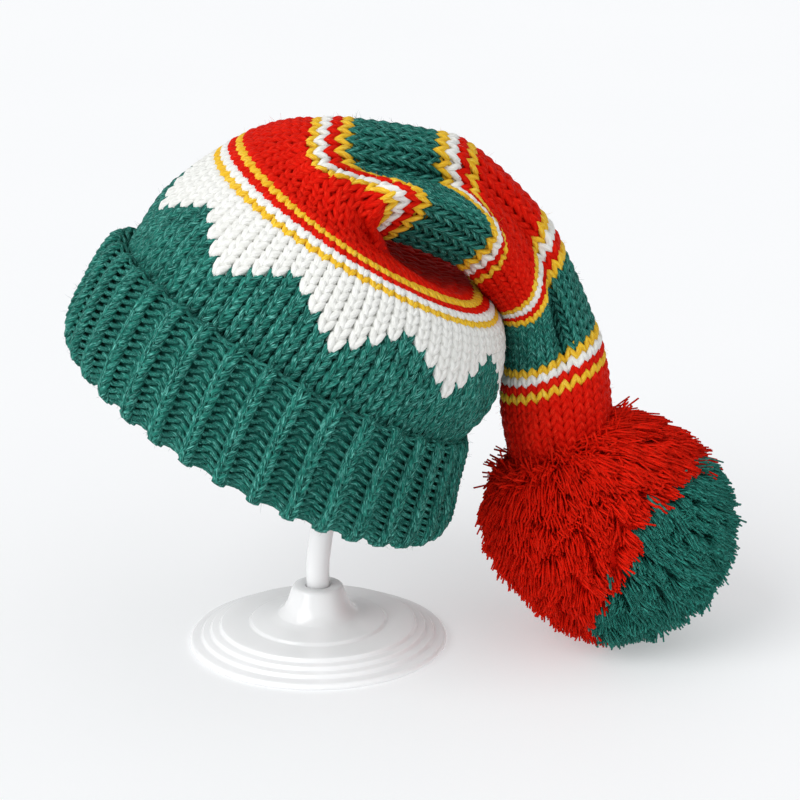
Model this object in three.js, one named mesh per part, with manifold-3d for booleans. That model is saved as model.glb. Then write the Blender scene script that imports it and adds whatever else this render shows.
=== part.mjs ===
// Knitted santa hat on a plain white stand: ribbed cuff, crown with a long folded tail, yarn pompom.
// Millimetres, +Z up. The origin is the middle of the stand's underside, and the tail falls towards +X.
import * as THREE from 'three';
import { mergeVertices } from 'three/addons/utils/BufferGeometryUtils.js';
import Module from 'manifold-3d';

const wasm = await Module();
wasm.setup();

// Driving dimensions of the knitting
const WALL = 4.5;             // thickness of the knitted wall
const CLEARANCE = 0.4;        // between neighbouring pieces
const RIM_COURSE = -9.2;      // lower edge of the crown, inside the fold of the cuff
const END_COURSE = 70;        // last course of the tail, gathered into the pompom
const END_WALL = 1.5;         // courses between the two faces of the tail's closed end
const CAP_COLUMNS = 36;       // facets around the crown and tail
const RIBS = 36;              // raised ribs around the cuff
const RIB_TURN = -2.5;        // degrees from the hat's crest to the middle of the nearest rib
const RIB_DEPTH = 1.7;        // ribs stand this far above and below the middle of the cuff's face
const RIB_FACETS = 4;         // facets across one rib
const CUFF_LEAN = 1.6;        // courses by which the cuff's top edge stands higher at the front
const BULGE_ANGLE = -105;     // degrees from the crest to the bulge in the front of the folded tail
const BULGE_REACH = 58;
const GROOVE_ANGLE = -45;     // degrees from the crest to the groove above that bulge
const GROOVE_REACH = 45;
const PLEATS = 9;             // gathers where the tail meets the pompom
const PLEAT_DEPTH = 1.6;
const PLEAT_START = 60;       // course where the gathers begin

// Driving dimensions of the pompom
const POMPOM_CENTRE = new THREE.Vector3(129.7, 5, 51.6);
const POMPOM_HALF = new THREE.Vector3(56.6, 53.5, 51.8);   // half sizes to the tips of the locks
const POMPOM_ROOT = 0.86;     // valleys between the locks, as a share of the half size
const POMPOM_DETAIL = 4;      // divisions of the ball, each small face carrying one lock
const LOCK_UNEVEN = 0.06;     // the locks' tips differ by this share
const LOCK_SWEEP = 0.1;       // tips lean away from the tail by this share of the half size
const NECK_REACH = 0.55;      // locks are flat within this distance of the neck, on a ball of radius 1
const NECK_START = 54;        // the tail is sunk in the pompom somewhere above this course
const NECK_SPARE = 0.2;       // courses left free beyond the tail's end
const NECK_RINGS = 8;

// Driving dimensions of the stand
const BASE_SEGMENTS = 36;
const HUB_TOP = 26;
const SOCKET_FLOOR = 14;      // the post stands in the hub down to here
const POST_RADIUS = 5.2;
const POST_BEND = 36.3;       // height of the bend
const POST_LEAN = 7.5;        // degrees towards +X above the bend
const POST_BEND_REACH = 4;    // the bend is rounded over this far each way
const POST_SIDES = 12;
const POST_STEPS = 18;
const DOME_TILT = 30;         // degrees towards +X, the lean of the hat's crown
const DOME_TOP = { x: 20, z: 176 };
const DOME_SEGMENTS = 24;
const BOSS_RADIUS = 9;
const BOSS_LENGTH = 10;       // from the dome's underside to the end of the post

// Sections of the hat, one row each. The crest and inner points are the section's two ends in the XZ plane,
// depth is its half size in Y about centreY. Lead pushes the bulge in its front along the tail, and sway
// draws the groove above the bulge back.
const SECTION_FIELDS = [
  'course', 'crestX', 'crestZ', 'innerX', 'innerZ', 'depth', 'centreY', 'lead', 'sway',
];
const SECTIONS = table(SECTION_FIELDS, [
  [-13, -105, 133, 46, 48, 85, 0, 0, 0],
  [-10.5, -101, 142, 49, 57.5, 85.5, 0, 0, 0],
  [-5, -90.5, 163.5, 54.5, 77.5, 85, 0, 0, 0],
  [0, -79, 182.5, 62, 97.5, 84.5, 0, 0, 0],
  [5, -65.5, 203, 78, 120, 85, 0, 0, 0],
  [8, -55, 212, 81.5, 135.5, 82, 0, 0, 0],
  [12, -42, 221, 79, 150, 75, 0, 1, 0],
  [16, -29.5, 228.5, 68.5, 161, 66, 0, 0, 0],
  [19, -17.5, 233.5, 47, 169, 54, -1, 1, 1],
  [21.5, -7, 236, 28, 180, 48, -5, 9, 3],
  [23.5, 1.5, 236.7, 21, 188, 44, -8, 20, 4],
  [27, 17, 236.8, 33, 187, 40, -6, 22, 4],
  [34, 53, 230, 61, 173, 35, 2, 17, 2],
  [38, 69.5, 221.5, 70, 163, 31.5, 9, 12, 0],
  [45, 97.5, 193.5, 80, 149, 28.5, 16, 6, 0],
  [49, 109, 175, 81.7, 143, 27, 18, 5, 0],
  [56, 122.5, 143.5, 82.5, 124, 26, 15, 1, 0],
  [60, 127, 128, 81, 109.5, 25, 12, 0, 0],
  [65, 129.5, 108, 84, 88, 23, 8, 0, 0],
  [70, 129, 92, 92, 73, 18.5, 5, 0, 0],
]);

// Hollows pressed into the knitting where it folds: middle, reach along it, and reach around it towards the
// crest and away from it. The slant turns the hollow's middle by so many degrees with each course.
const FOLD_FIELDS = ['course', 'courseReach', 'angle', 'slant', 'crestReach', 'awayReach', 'depth'];
const FOLDS = table(FOLD_FIELDS, [
  [18.5, 4, -122, 0, 36, 45, 15],
  [25, 6, -80, 5, 30, 18, 8],
  [33, 9, -56, 0.6, 32, 20, 9.5],
  [44, 9, -46, -1.5, 24, 18, 8],
  [53, 9, -72, -1, 24, 20, 6],
]);

// Rings of facets along the hat, closest where it folds over.
const RING_SPANS = table(['from', 'to', 'rings'], [
  [RIM_COURSE, 12, 7],
  [12, 30, 11],
  [30, END_COURSE, 12],
]);

// The cuff's profile, round the fold: course, height over the crown's face, and shares of lean and rib.
const CUFF_PROFILE = table(['course', 'height', 'lean', 'rib'], [
  [-10.3, -3.2, 0, 0],
  [-10.8, 1.2, 0, 0.3],
  [-10.4, 5.4, 0, 0.7],
  [-8.9, 7.9, 0, 1],
  [-4.5, 8.3, 0.5, 1],
  [-0.8, 8.0, 1, 1],
  [0.3, 5.6, 1, 0.5],
  [0.1, CLEARANCE, 1, 0],
  [-4.5, CLEARANCE, 0.5, 0],
  [RIM_COURSE - 0.1, CLEARANCE, 0, 0],
  [RIM_COURSE - 0.1, -WALL, 0, 0],
]);

// The stand's base from its underside round the rim and up to its socket: radius and height.
const BASE_PROFILE = [
  [0, 0],
  [57.5, 0],
  [57.5, 1.6],
  [56.6, 2.6],
  [52.6, 3],
  [51.8, 4.8],
  [48.6, 5],
  [47.8, 6.8],
  [44.4, 7],
  [43.6, 8.8],
  [31, 9],
  [30, 10.3],
  [22, 11.3],
  [17.9, 12.7],
  [15, 15.8],
  [13.4, 19.4],
  [11.4, HUB_TOP - 0.8],
  [10.6, HUB_TOP],
  [POST_RADIUS + CLEARANCE, HUB_TOP],
  [POST_RADIUS + CLEARANCE, SOCKET_FLOOR],
  [0, SOCKET_FLOOR],
];

// The dome's section from its underside round the rim and over its top: radius and height from the top.
const DOME_PROFILE = [
  [0, -3],
  [15, -3.9],
  [28.5, -6.6],
  [38, -11],
  [42, -17.5],
  [43, -24],
  [46, -24],
  [45, -17],
  [40, -9],
  [30, -3.6],
  [16, -0.8],
  [0, 0],
];

function table(fields, rows) {
  return rows.map((row) => Object.fromEntries(fields.map((field, i) => [field, row[i]])));
}

// A section's value at any course, on a smooth curve through the rows of the table.
function sectionValue(field, course) {
  const last = SECTIONS.length - 1;
  const above = SECTIONS.findIndex((row) => row.course > course);
  const i = above < 0 ? last - 1 : Math.max(above - 1, 0);
  const slope = (k) => {
    const before = SECTIONS[Math.max(k - 1, 0)];
    const after = SECTIONS[Math.min(k + 1, last)];
    return (after[field] - before[field]) / (after.course - before.course);
  };
  const span = SECTIONS[i + 1].course - SECTIONS[i].course;
  const t = (course - SECTIONS[i].course) / span;
  const tt = t * t;
  const ttt = tt * t;
  return (2 * ttt - 3 * tt + 1) * SECTIONS[i][field] + (ttt - 2 * tt + t) * span * slope(i)
    + (3 * tt - 2 * ttt) * SECTIONS[i + 1][field] + (ttt - tt) * span * slope(i + 1);
}

// A smooth hill, 1 in the middle and 0 from one reach away.
function hill(distance) {
  return Math.abs(distance) < 1 ? (1 + Math.cos(Math.PI * distance)) / 2 : 0;
}

// Degrees from the crest, between -180 and 180.
function degreesFromCrest(angle) {
  return THREE.MathUtils.euclideanModulo(THREE.MathUtils.radToDeg(angle) + 180, 360) - 180;
}

function foldDepth(course, angle) {
  const degrees = degreesFromCrest(angle);
  let depth = 0;
  for (const fold of FOLDS) {
    const turn = degrees - fold.angle - fold.slant * (course - fold.course);
    const reach = turn > 0 ? fold.crestReach : fold.awayReach;
    depth += fold.depth * hill((course - fold.course) / fold.courseReach) * hill(turn / reach);
  }
  const gather = THREE.MathUtils.smoothstep(course, PLEAT_START, END_COURSE);
  return depth + PLEAT_DEPTH * gather * (1 - Math.cos(PLEATS * angle)) / 2;
}

// A point on the outside of the crown or tail. Angle 0 is the crest, -90 degrees the front.
function facePoint(course, angle) {
  const value = {};
  for (const field of SECTION_FIELDS) {
    value[field] = sectionValue(field, course);
  }
  const halfX = (value.crestX - value.innerX) / 2;
  const halfZ = (value.crestZ - value.innerZ) / 2;
  const half = Math.hypot(halfX, halfZ);
  const degrees = degreesFromCrest(angle);
  const push = value.lead * hill((degrees - BULGE_ANGLE) / BULGE_REACH)
    - value.sway * hill((degrees - GROOVE_ANGLE) / GROOVE_REACH);
  const spoke = new THREE.Vector3(
    halfX * Math.cos(angle) + push * halfZ / half,
    value.depth * Math.sin(angle),
    halfZ * Math.cos(angle) - push * halfX / half,
  );
  spoke.multiplyScalar(1 - foldDepth(course, angle) / spoke.length());
  return spoke.add(sectionCentre(course));
}

function sectionCentre(course) {
  return new THREE.Vector3(
    (sectionValue('crestX', course) + sectionValue('innerX', course)) / 2,
    sectionValue('centreY', course),
    (sectionValue('crestZ', course) + sectionValue('innerZ', course)) / 2,
  );
}

// A point at a height over the outside of the knitting, below it where the height is negative.
function knitPoint(course, angle, height) {
  const step = 1e-3;
  const along = facePoint(course + step, angle).sub(facePoint(course - step, angle));
  const around = facePoint(course, angle + step).sub(facePoint(course, angle - step));
  const outward = along.cross(around).normalize();
  return facePoint(course, angle).addScaledVector(outward, height);
}

function ring(columns, pointAt) {
  return Array.from({ length: columns }, (_, i) => pointAt(2 * Math.PI * i / columns));
}

// A skin over a stack of rings. A ring of one point is a pole, and a looped stack joins its ends.
function skin(rings, looped = false) {
  const columns = Math.max(...rings.map((points) => points.length));
  const starts = [];
  let count = 0;
  for (const points of rings) {
    starts.push(count);
    count += points.length;
  }
  const corner = (i, j) => starts[i] + (rings[i].length === 1 ? 0 : j % columns);
  const faces = [];
  const bands = looped ? rings.length : rings.length - 1;
  for (let i = 0; i < bands; i++) {
    const next = (i + 1) % rings.length;
    for (let j = 0; j < columns; j++) {
      if (rings[next].length > 1) {
        faces.push(corner(i, j), corner(next, j), corner(next, j + 1));
      }
      if (rings[i].length > 1) {
        faces.push(corner(i, j), corner(next, j + 1), corner(i, j + 1));
      }
    }
  }
  const geometry = new THREE.BufferGeometry().setFromPoints(rings.flat());
  geometry.setIndex(faces);
  return geometry;
}

function solidOf(geometry) {
  const bare = new THREE.BufferGeometry();
  bare.setAttribute('position', geometry.getAttribute('position'));
  bare.setIndex(geometry.getIndex());
  const merged = mergeVertices(bare, 1e-3);
  return new wasm.Manifold(new wasm.Mesh({
    numProp: 3,
    vertProperties: Float32Array.from(merged.getAttribute('position').array),
    triVerts: Uint32Array.from(merged.getIndex().array),
  }));
}

function geometryOf(solid) {
  const mesh = solid.getMesh();
  const geometry = new THREE.BufferGeometry();
  geometry.setAttribute('position', new THREE.BufferAttribute(Float32Array.from(mesh.vertProperties), 3));
  geometry.setIndex(Array.from(mesh.triVerts));
  return geometry;
}

function lathe(profile, segments) {
  const points = profile.map(([radius, height]) => new THREE.Vector2(radius, height));
  return new THREE.LatheGeometry(points, segments).rotateX(Math.PI / 2);
}

// Crown and tail: one hollow knitted wall, open at the rim and closed at the gathered end.
function capGeometry() {
  const courses = [RIM_COURSE];
  for (const span of RING_SPANS) {
    for (let i = 1; i <= span.rings; i++) {
      courses.push(THREE.MathUtils.lerp(span.from, span.to, i / span.rings));
    }
  }
  const outside = courses.map((course) => ring(CAP_COLUMNS, (angle) => knitPoint(course, angle, 0)));
  const lining = courses.slice(0, -1).reverse();
  const inside = lining.map((course) => ring(CAP_COLUMNS, (angle) => knitPoint(course, angle, -WALL)));
  const innerEnd = [sectionCentre(END_COURSE - END_WALL)];
  const outerEnd = [sectionCentre(END_COURSE)];
  return skin([innerEnd, ...inside, ...outside, outerEnd]);
}

// Turned-up cuff: a ribbed ring round the crown whose fold passes under the crown's rim.
function cuffGeometry() {
  const rings = CUFF_PROFILE.map((row) => ring(RIBS * RIB_FACETS, (angle) => {
    const course = row.course - row.lean * CUFF_LEAN * Math.sin(angle);
    const rib = RIB_DEPTH * row.rib * Math.cos(RIBS * (angle - THREE.MathUtils.degToRad(RIB_TURN)));
    return knitPoint(course, angle, row.height + rib);
  }));
  return skin(rings, true);
}

// The tail's end, swollen by the clearance, as the hollow that it fills in the pompom.
function neckSolid() {
  const last = END_COURSE + NECK_SPARE;
  const courses = Array.from({ length: NECK_RINGS }, (_, i) => (
    THREE.MathUtils.lerp(NECK_START, last, i / (NECK_RINGS - 1))
  ));
  const rings = courses.map((course) => ring(CAP_COLUMNS, (angle) => knitPoint(course, angle, CLEARANCE)));
  return solidOf(skin([[sectionCentre(NECK_START)], ...rings, [sectionCentre(last)]]));
}

// A fixed scatter between -1 and 1 for the i-th lock.
function scatter(i) {
  const wave = Math.sin(i * 12.9898) * 43758.5453;
  return 2 * (wave - Math.floor(wave)) - 1;
}

// Pompom: a ball whose every small face rises into a lock that leans away from the tail, flat on the floor.
function pompomGeometry() {
  const ball = new THREE.IcosahedronGeometry(1, POMPOM_DETAIL).getAttribute('position');
  const neck = sectionCentre(END_COURSE).sub(POMPOM_CENTRE).normalize();
  const points = [];
  for (let i = 0; i < ball.count; i += 3) {
    const corners = [0, 1, 2].map((k) => new THREE.Vector3().fromBufferAttribute(ball, i + k));
    const middle = corners[0].clone().add(corners[1]).add(corners[2]).normalize();
    const open = THREE.MathUtils.smoothstep(middle.distanceTo(neck), NECK_REACH, 2 * NECK_REACH);
    const sweep = middle.clone().multiplyScalar(middle.dot(neck)).sub(neck);
    const rise = THREE.MathUtils.lerp(POMPOM_ROOT, 1 + LOCK_UNEVEN * (scatter(i) - 1) / 2, open);
    const tip = middle.multiplyScalar(rise).addScaledVector(sweep, LOCK_SWEEP * open);
    for (const corner of corners) {
      corner.multiplyScalar(POMPOM_ROOT);
    }
    for (let k = 0; k < 3; k++) {
      points.push(corners[k], corners[(k + 1) % 3], tip);
    }
  }
  const placed = points.map((point) => point.clone().multiply(POMPOM_HALF).add(POMPOM_CENTRE));
  const bristly = new THREE.BufferGeometry().setFromPoints(placed);
  const width = 4 * POMPOM_HALF.x;
  const floor = new THREE.BoxGeometry(width, width, width).translate(POMPOM_CENTRE.x, 0, -width / 2);
  return geometryOf(solidOf(bristly).subtract(neckSolid()).subtract(solidOf(floor)));
}

function leanDirection(degrees) {
  const angle = THREE.MathUtils.degToRad(degrees);
  return new THREE.Vector3(Math.sin(angle), 0, Math.cos(angle));
}

// The point under the dome where the post ends.
function postEnd() {
  const lean = leanDirection(POST_LEAN);
  const bend = new THREE.Vector3(0, 0, POST_BEND);
  const rise = (DOME_TOP.z - BOSS_LENGTH - POST_BEND) / lean.z;
  return bend.addScaledVector(lean, rise);
}

// Post: a round rod out of the hub, bent once, up to the boss under the dome.
function postGeometry() {
  const foot = new THREE.Vector3(0, 0, SOCKET_FLOOR + CLEARANCE);
  const bend = new THREE.Vector3(0, 0, POST_BEND);
  const below = bend.clone().setZ(POST_BEND - POST_BEND_REACH);
  const above = bend.clone().addScaledVector(leanDirection(POST_LEAN), POST_BEND_REACH);
  const path = new THREE.CurvePath();
  path.add(new THREE.LineCurve3(foot, below));
  path.add(new THREE.QuadraticBezierCurve3(below, bend, above));
  path.add(new THREE.LineCurve3(above, postEnd()));
  const section = new THREE.Shape().absarc(0, 0, POST_RADIUS, 0, 2 * Math.PI);
  return new THREE.ExtrudeGeometry(section, {
    extrudePath: path,
    steps: POST_STEPS,
    curveSegments: POST_SIDES / 2,
    bevelEnabled: false,
  });
}

// Hidden dome that carries the crown, with a boss in line with the post, in the dome's own frame.
function domeGeometry() {
  const top = new THREE.Vector3(DOME_TOP.x, 0, DOME_TOP.z);
  const seat = postEnd().addScaledVector(leanDirection(POST_LEAN), CLEARANCE);
  const toDome = new THREE.Matrix4().makeRotationY(-THREE.MathUtils.degToRad(DOME_TILT));
  const localSeat = seat.sub(top).applyMatrix4(toDome);
  const boss = new THREE.CylinderGeometry(BOSS_RADIUS, BOSS_RADIUS, BOSS_LENGTH, DOME_SEGMENTS);
  boss.rotateX(Math.PI / 2).translate(0, 0, BOSS_LENGTH / 2);
  boss.rotateY(THREE.MathUtils.degToRad(POST_LEAN - DOME_TILT));
  boss.translate(localSeat.x, localSeat.y, localSeat.z);
  const shell = solidOf(lathe(DOME_PROFILE, DOME_SEGMENTS));
  return geometryOf(shell.add(solidOf(boss)));
}

const YARN_GREEN = new THREE.MeshStandardMaterial({ color: 0x0f6e58, roughness: 0.95, metalness: 0 });
const YARN_RED = new THREE.MeshStandardMaterial({ color: 0xc41410, roughness: 0.95, metalness: 0 });
const WHITE_PLASTIC = new THREE.MeshStandardMaterial({ color: 0xf2f2f2, roughness: 0.25, metalness: 0 });

function piece(name, geometry, material) {
  const mesh = new THREE.Mesh(geometry, material);
  mesh.name = name;
  mesh.geometry.computeVertexNormals();
  return mesh;
}

const hat = new THREE.Group();
hat.add(piece('cap', capGeometry(), YARN_GREEN));
hat.add(piece('cuff', cuffGeometry(), YARN_GREEN));
hat.add(piece('pompom', pompomGeometry(), YARN_RED));

const dome = piece('stand_dome', domeGeometry(), WHITE_PLASTIC);
dome.position.set(DOME_TOP.x, 0, DOME_TOP.z);
dome.rotation.y = THREE.MathUtils.degToRad(DOME_TILT);

const stand = new THREE.Group();
stand.add(piece('stand_base', lathe(BASE_PROFILE, BASE_SEGMENTS), WHITE_PLASTIC));
stand.add(piece('stand_post', postGeometry(), WHITE_PLASTIC));
stand.add(dome);

const hatOnStand = new THREE.Group();
hatOnStand.add(hat, stand);

export default hatOnStand;
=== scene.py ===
"""Looks of a knitted santa hat on a plain stand: looped yarn, a cut-yarn pompom and glossy white plastic."""
import math

import bmesh
import bpy
import numpy as np
from mathutils import Matrix, Vector


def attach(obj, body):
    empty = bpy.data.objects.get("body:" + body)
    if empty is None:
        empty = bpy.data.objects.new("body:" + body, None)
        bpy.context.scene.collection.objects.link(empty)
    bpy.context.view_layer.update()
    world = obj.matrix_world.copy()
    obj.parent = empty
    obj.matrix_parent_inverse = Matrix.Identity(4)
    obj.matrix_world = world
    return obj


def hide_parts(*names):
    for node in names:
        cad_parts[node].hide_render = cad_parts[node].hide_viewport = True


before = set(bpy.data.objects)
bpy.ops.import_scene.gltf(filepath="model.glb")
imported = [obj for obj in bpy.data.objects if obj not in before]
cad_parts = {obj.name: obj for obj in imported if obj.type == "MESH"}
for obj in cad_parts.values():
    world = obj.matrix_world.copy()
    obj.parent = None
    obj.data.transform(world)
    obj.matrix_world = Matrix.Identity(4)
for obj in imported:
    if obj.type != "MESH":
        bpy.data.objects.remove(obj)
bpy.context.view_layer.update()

MM = 0.001
SEED = 36

# Camera of the front view, in metres and degrees from straight down
CAMERA_PLACE = (0.03668, -1.01838, 0.42939)
CAMERA_PITCH = 72.7
CAMERA_LENS = 109.98
CAMERA_SENSOR = 36.0

# Studio light: a name, where each soft light comes from, its strength and its spread in degrees
SKY_COLOUR = (0.97, 0.985, 1, 1)
SKY_STRENGTH = 0.56
SOFT_LIGHTS = (
    ("left_key", (-0.6, -0.5, 0.62), 1.95, 45),
    ("right_fill", (0.35, -0.8, 0.48), 0.4, 70),
)

# Floor in metres, with a faint glow of its own
FLOOR_HALF = 8
FLOOR_CELLS = 8
FLOOR_LEVEL = -0.2 * MM
FLOOR_COLOURS = ((0.58, 0.585, 0.595, 1), (0.595, 0.6, 0.605, 1))
FLOOR_GLOW_COLOUR = (0.985, 0.99, 1, 1)
FLOOR_GLOW = 0.38

# Sections of the hat in millimetres, as its solid has them
SECTION_FIELDS = ("course", "crest_x", "crest_z", "inner_x", "inner_z", "depth", "centre_y", "lead", "sway")
SECTION_ROWS = (
    (-13, -105, 133, 46, 48, 85, 0, 0, 0),
    (-10.5, -101, 142, 49, 57.5, 85.5, 0, 0, 0),
    (-5, -90.5, 163.5, 54.5, 77.5, 85, 0, 0, 0),
    (0, -79, 182.5, 62, 97.5, 84.5, 0, 0, 0),
    (5, -65.5, 203, 78, 120, 85, 0, 0, 0),
    (8, -55, 212, 81.5, 135.5, 82, 0, 0, 0),
    (12, -42, 221, 79, 150, 75, 0, 1, 0),
    (16, -29.5, 228.5, 68.5, 161, 66, 0, 0, 0),
    (19, -17.5, 233.5, 47, 169, 54, -1, 1, 1),
    (21.5, -7, 236, 28, 180, 48, -5, 9, 3),
    (23.5, 1.5, 236.7, 21, 188, 44, -8, 20, 4),
    (27, 17, 236.8, 33, 187, 40, -6, 22, 4),
    (34, 53, 230, 61, 173, 35, 2, 17, 2),
    (38, 69.5, 221.5, 70, 163, 31.5, 9, 12, 0),
    (45, 97.5, 193.5, 80, 149, 28.5, 16, 6, 0),
    (49, 109, 175, 81.7, 143, 27, 18, 5, 0),
    (56, 122.5, 143.5, 82.5, 124, 26, 15, 1, 0),
    (60, 127, 128, 81, 109.5, 25, 12, 0, 0),
    (65, 129.5, 108, 84, 88, 23, 8, 0, 0),
    (70, 129, 92, 92, 73, 18.5, 5, 0, 0),
)
SECTION = dict(zip(SECTION_FIELDS, np.array(SECTION_ROWS, float).T))

# Folds pressed into the knitting, and a swell over the low side of the cuff, in millimetres and degrees
FOLD_FIELDS = ("course", "course_reach", "angle", "slant", "crest_reach", "away_reach", "depth")
FOLD_ROWS = (
    (18.5, 4, -122, 0, 36, 45, 15),
    (25, 6, -80, 5, 30, 18, 8),
    (33, 9, -56, 0.6, 28, 18, 12.5),
    (44, 9, -46, -1.5, 24, 18, 8),
    (53, 9, -72, -1, 19, 16, 9),
    (3, 4, -180, 0, 60, 60, -3),
    (3, 4, 180, 0, 60, 60, -3),
)
FOLDS = [dict(zip(FOLD_FIELDS, row)) for row in FOLD_ROWS]

# Bulge and groove beside the fold, pleats of the gathered end, and the courses where the knitting ends
BULGE_ANGLE = -105
BULGE_REACH = 58
GROOVE_ANGLE = -45
GROOVE_REACH = 45
PLEATS = 9
PLEAT_DEPTH = 1.6
PLEAT_START = 60
END_COURSE = 70
RIM_COURSE = -9.2

# The cuff's outer face from its hidden edge under the rim, round the fold and up to its top edge
CUFF_FIELDS = ("course", "height", "lean", "rib")
CUFF_ROWS = (
    (-10.3, -3.2, 0, 0),
    (-10.8, 1.2, 0, 0.3),
    (-10.4, 5.4, 0, 0.7),
    (-8.9, 7.9, 0, 1),
    (-4.5, 8.3, 0.5, 1),
    (-0.8, 8.0, 1, 1),
    (0.3, 5.6, 1, 0.5),
    (0.1, 0.4, 1, 0),
)
CUFF = dict(zip(CUFF_FIELDS, np.array(CUFF_ROWS, float).T))
CUFF_COURSE_HEIGHT = 4.3
CUFF_LEAN = 1.6
CUFF_HUG = 3
CUFF_STITCH_HEIGHT = 3.2
RIB_DEPTH = 1.7
RIBS = 36

# Knitting chart: rows and columns count stitches, and column 0 is the tip of the tooth at the front
TIP_ANGLE = math.radians(-92.5)
CROWN_COLUMNS = 72
FIRST_ROW = -2
TAIL_ROW = 17
LOWER_TAIL_ROW = 45
COLUMN_STEPS = ((FIRST_ROW, CROWN_COLUMNS), (TAIL_ROW, 56), (19, 44), (21, 36), (23, 28))
GREEN, WHITE, YELLOW, RED = range(4)
TOOTH_ROW = 5
TOOTH_COLUMNS = 8
STRIPE_ROW = 12
STRIPE_REPEAT = 11
STRIPE_SET = (YELLOW, WHITE, RED, YELLOW)
FIELD_YARNS = (RED, GREEN)
LAST_ROW = 66
KNIT_PIECES = (
    ("crown_knit", FIRST_ROW, TAIL_ROW),
    ("tail_knit_upper", TAIL_ROW, LOWER_TAIL_ROW),
    ("tail_knit_lower", LOWER_TAIL_ROW, END_COURSE),
)

# One loop of yarn, in shares of a stitch and in millimetres
LOOP_POINTS = 12
RIB_LOOP_POINTS = 10
LOOP_SIDES = 5
CROWN_LOOP_SWING = 0.26
TAIL_LOOP_SWING = 0.3
RIB_LOOP_SWING = 0.24
LOOP_PINCH = 0.06
FOOT_ANGLE = math.radians(30)
LOOP_REACH = 0.97
LOOP_DEPTH = 1.25
LOOP_MIDDLE = -1.75
LOOP_SWELL = 0.2
UNEVEN_SIDEWAYS = 0.02
UNEVEN_ALONG = 0.025
UNEVEN_HEIGHT = 0.12
YARN_FLATNESS = 0.9
PURL_REACH = 0.75
PURL_SINK = -1.0
PURL_THINNING = 0.12
RIB_TURN = 4
RIB_SWELL = -0.2

# Radius of each yarn in millimetres, and the share of it that is left in the tail
YARN_RADIUS = {GREEN: 1.4, WHITE: 1.8, YELLOW: 1.5, RED: 1.65}
TAIL_YARN_SHARE = {GREEN: 0.7, WHITE: 0.84, YELLOW: 0.84, RED: 0.84}

# Felt behind the loops, in millimetres over the face of the knitting
BACKING_HEIGHT = -3.0
CUFF_BACKING_HEIGHT = -3.35
BACKING_WALL = 1.0

# Loose fibres: how many, the first row of the cuff that has them, and their sizes in millimetres
CAP_FUZZ = 3800
CUFF_FUZZ = 1800
CUFF_FUZZ_START = 2
FUZZ_SIDES = 3
FUZZ_ROOT = -0.3
FUZZ_RISE = (0.6, 1.6)
FUZZ_LEAN = 1.1
FUZZ_RADIUS = 0.06
FUZZ_TIP_RADIUS = 0.02

# Pompom in millimetres, radians and shares of its size, as its solid has it
POMPOM_CENTRE = np.array((129.7, 5, 51.6))
POMPOM_HALF = np.array((56.6, 53.5, 51.8))
CORE_SHARE = 0.85
CORE_SUBDIVISIONS = 5
CORE_FLOOR = 2
NECK_ANGLE = 0.42
GREEN_AXIS = np.array((0.84, -0.36, -0.4))
GREEN_EDGE = 0.44
FLAT_SIDE = np.array((-0.745, -0.198, -0.637))
FLAT_REACH = 0.9
FLAT_DEPTH = 0.1

# Cut strands in shares of the pompom, with their radii in millimetres and their angles in radians
STRANDS = 21000
STRAND_SIDES = 3
STRAND_RADIUS = 0.54
STRAND_TIP_RADIUS = 0.45
STRAND_THICKNESS = (0.85, 1.15)
STRAND_ROOT = 0.74
STRAND_TIP = 0.985
STRAND_RISE = 1.6
STRAND_CURVE = 1.2
STRAND_SCATTER = 0.018
STRAND_WAVE = 0.022
LENGTH_SPREAD = 0.025
LENGTH_LIMITS = (-0.08, 0.06)
TIP_CURVE = 1.5
TIP_SCATTER = 0.012
LONG_POINTS = 5
SHORT_POINTS = 3
LONG_ANGLE = 1.25

# Strands near the neck lie further over the ball
NECK_ROOT_SHARE = 0.8
NECK_SWING = 0.85
NECK_SWING_REACH = 0.6
LEAST_SWING = 0.03

# Tufts that the tips of the strands gather into
TUFTS = 900
TUFT_SCATTER = 0.04
TUFT_LEAN = 0.04
TUFT_LENGTH_SPREAD = 0.016
TUFT_EDGE_SPREAD = 0.03
RED_GATHER = 0.22
GREEN_GATHER = 0.4

# Long strands that stand up around the end of the tail
COLLAR_STRANDS = 420
COLLAR_ANGLE = (0.48, 0.62)
COLLAR_BEND = (-0.02, 0.1)
COLLAR_SCATTER = 0.06
COLLAR_RISE = (0.2, 0.4)

# Stand in millimetres, as its solids have it
BASE_PROFILE = (
    (0, 0),
    (57.5, 0),
    (57.5, 1.6),
    (56.6, 2.6),
    (52.6, 3),
    (51.8, 4.8),
    (48.6, 5),
    (47.8, 6.8),
    (44.4, 7),
    (43.6, 8.8),
    (31, 9),
    (30, 10.3),
    (22, 11.3),
    (17.9, 12.7),
    (15, 15.8),
    (13.4, 19.4),
    (11.4, 25.2),
    (10.6, 26),
    (5.6, 26),
    (5.6, 14),
    (0, 14),
)
BASE_STEPS = 128
BASE_EDGE = 0.45
BASE_EDGE_TURN = math.radians(22)
POST_RADIUS = 5.2
POST_FOOT = 14.4
POST_BEND = 36.3
POST_BEND_REACH = 4
POST_BEND_STEPS = 8
POST_LEAN = math.radians(7.5)
POST_TOP = 166
POST_SIDES = 40
DOME_PROFILE = (
    (0, -3),
    (15, -3.9),
    (28.5, -6.6),
    (38, -11),
    (42, -17.5),
    (43, -24),
    (46, -24),
    (45, -17),
    (40, -9),
    (30, -3.6),
    (16, -0.8),
    (0, 0),
)
DOME_TOP = (20, 0, 176)
DOME_TILT = math.radians(30)
DOME_STEPS = 64
DOME_EDGE = 0.6
DOME_EDGE_TURN = math.radians(30)
BOSS_RADIUS = 9
BOSS_LENGTH = 10
STAND_GAP = 0.4
EDGE_SEGMENTS = 3

# Points closer than this, in millimetres, are merged
MERGE_REACH = 0.01

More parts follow.
